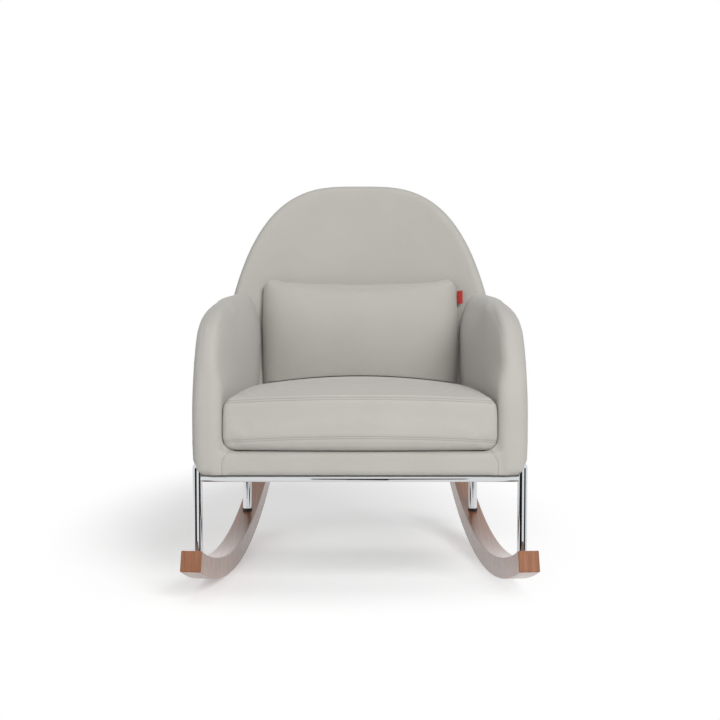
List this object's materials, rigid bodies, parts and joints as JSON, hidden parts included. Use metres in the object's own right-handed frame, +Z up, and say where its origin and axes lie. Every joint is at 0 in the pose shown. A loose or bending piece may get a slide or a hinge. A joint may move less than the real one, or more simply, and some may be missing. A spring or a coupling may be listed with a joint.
{
  "type": "rocking chair",
  "caption": "Padded tub armchair that rocks on curved walnut runners under a chromed tube base, with a loose boxed seat cushion and a loose lumbar pillow.",
  "frame": {"origin": "on the floor, midway between the two points where the runners touch it", "axes": "+Z up, -Y towards the front of the chair, +X to the sitter's left"},
  "size_m": [0.7742, 0.9319, 0.901],
  "materials": {
    "walnut": "satin",
    "chrome": "polished",
    "black_nylon": "matte",
    "zinc_steel": "satin",
    "hardwood": "matte",
    "plywood": "matte",
    "black_webbing": "matte",
    "felt": "matte",
    "black_cambric": "matte",
    "grey_upholstery": "matte",
    "red_ribbon": "matte"
  },
  "bodies": {
    "chair": {"runner_left": "walnut", "runner_right": "walnut", "bolt_plugs": "walnut", "front_leg_left": "chrome", "front_leg_right": "chrome", "rear_leg_left": "chrome", "rear_leg_right": "chrome", "front_crossbar": "chrome", "rear_crossbar": "chrome", "side_bar_left": "chrome", "side_bar_right": "chrome", "seat_tabs": "chrome", "leg_bushes": "black_nylon", "leg_inserts": "zinc_steel", "runner_bolts": "zinc_steel", "seat_screws": "zinc_steel", "arm_bolts": "zinc_steel", "seat_rail_left": "hardwood", "seat_rail_right": "hardwood", "seat_rail_front": "hardwood", "seat_rail_rear": "hardwood", "corner_blocks": "hardwood", "arm_panel_left": "plywood", "arm_panel_right": "plywood", "back_frame": "plywood", "webbing_lengthwise": "black_webbing", "webbing_crosswise": "black_webbing", "deck_pad": "felt", "dust_cover": "black_cambric", "front_pad": "grey_upholstery", "arm_pad_left": "grey_upholstery", "arm_pad_right": "grey_upholstery", "back_cover": "grey_upholstery", "back_pad": "grey_upholstery"},
    "seat_cushion": {"seat_cushion": "grey_upholstery"},
    "lumbar_pillow": {"lumbar_pillow": "grey_upholstery", "pillow_tab": "red_ribbon"}
  },
  "joints": [
    {"name": "seat_cushion_slide", "type": "slide", "parent": "chair", "child": "seat_cushion", "axis": [0, -1, 0], "range_m": [0, 0.55]},
    {"name": "lumbar_pillow_lift", "type": "slide", "parent": "chair", "child": "lumbar_pillow", "axis": [0, 0, 1], "range_m": [0, 0.35]}
  ]
}
